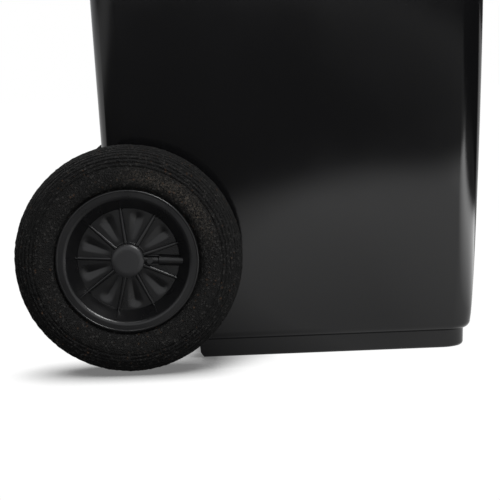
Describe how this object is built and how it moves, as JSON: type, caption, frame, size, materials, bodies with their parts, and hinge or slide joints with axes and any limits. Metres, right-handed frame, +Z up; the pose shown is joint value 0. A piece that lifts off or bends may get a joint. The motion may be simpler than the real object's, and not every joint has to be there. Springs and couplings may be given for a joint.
{
  "type": "wheelie bin",
  "caption": "Tall tapered plastic refuse bin on rubber wheels, with a hinged lid, a rear handle bar and a lifting rim; it tips onto its wheels to be rolled.",
  "frame": {"origin": "on the ground under the middle of the bin's width and depth", "axes": "+Z is up, -Y points to the front, away from the handle, and +-X points to the two wheels, with -X called left"},
  "size_m": [0.48, 0.5274, 0.928],
  "materials": {
    "body_plastic": "glossy black moulded polyethylene",
    "lid_plastic": "glossy black moulded polyethylene",
    "wheel_plastic": "satin black moulded polypropylene",
    "tyre_rubber": "solid crumb rubber, matt, a little dusty",
    "steel": "zinc-plated steel",
    "small_plastic": "black acetal"
  },
  "bodies": {
    "bin": {"body": "body_plastic", "axle": "steel", "hinge_pin_left": "small_plastic", "hinge_pin_right": "small_plastic", "axle_spacer_left": "small_plastic", "axle_spacer_right": "small_plastic", "transponder_plug": "small_plastic"},
    "lid": {"lid": "lid_plastic"},
    "wheel_left": {"rim_left": "wheel_plastic", "tyre_left": "tyre_rubber", "hub_cap_left": "wheel_plastic", "lock_plug_left": "small_plastic", "lock_spring_left": "steel"},
    "wheel_right": {"rim_right": "wheel_plastic", "tyre_right": "tyre_rubber", "hub_cap_right": "wheel_plastic", "lock_plug_right": "small_plastic", "lock_spring_right": "steel"},
    "lock_pin_left": {"lock_pin_left": "small_plastic"},
    "lock_pin_right": {"lock_pin_right": "small_plastic"}
  },
  "joints": [
    {"name": "lid_hinge", "type": "hinge", "parent": "bin", "child": "lid", "pos_m": [0, 0.25025, 0.872], "axis": [-1, 0, 0], "range_deg": [0, 270]},
    {"name": "wheel_left_spin", "type": "hinge", "parent": "bin", "child": "wheel_left", "pos_m": [0, 0.12225, 0.1], "axis": [1, 0, 0], "continuous": true},
    {"name": "wheel_right_spin", "type": "hinge", "parent": "bin", "child": "wheel_right", "pos_m": [0, 0.12225, 0.1], "axis": [1, 0, 0], "continuous": true},
    {"name": "lock_left_slide", "type": "slide", "parent": "wheel_left", "child": "lock_pin_left", "axis": [0, -0.9981, -0.061], "range_m": [0, 0.004], "stiffness_N_per_m": 400, "springref_m": -0.003, "deforming": ["lock_spring_left"]},
    {"name": "lock_right_slide", "type": "slide", "parent": "wheel_right", "child": "lock_pin_right", "axis": [0, -0.6018, 0.7986], "range_m": [0, 0.004], "stiffness_N_per_m": 400, "springref_m": -0.003, "deforming": ["lock_spring_right"]}
  ]
}
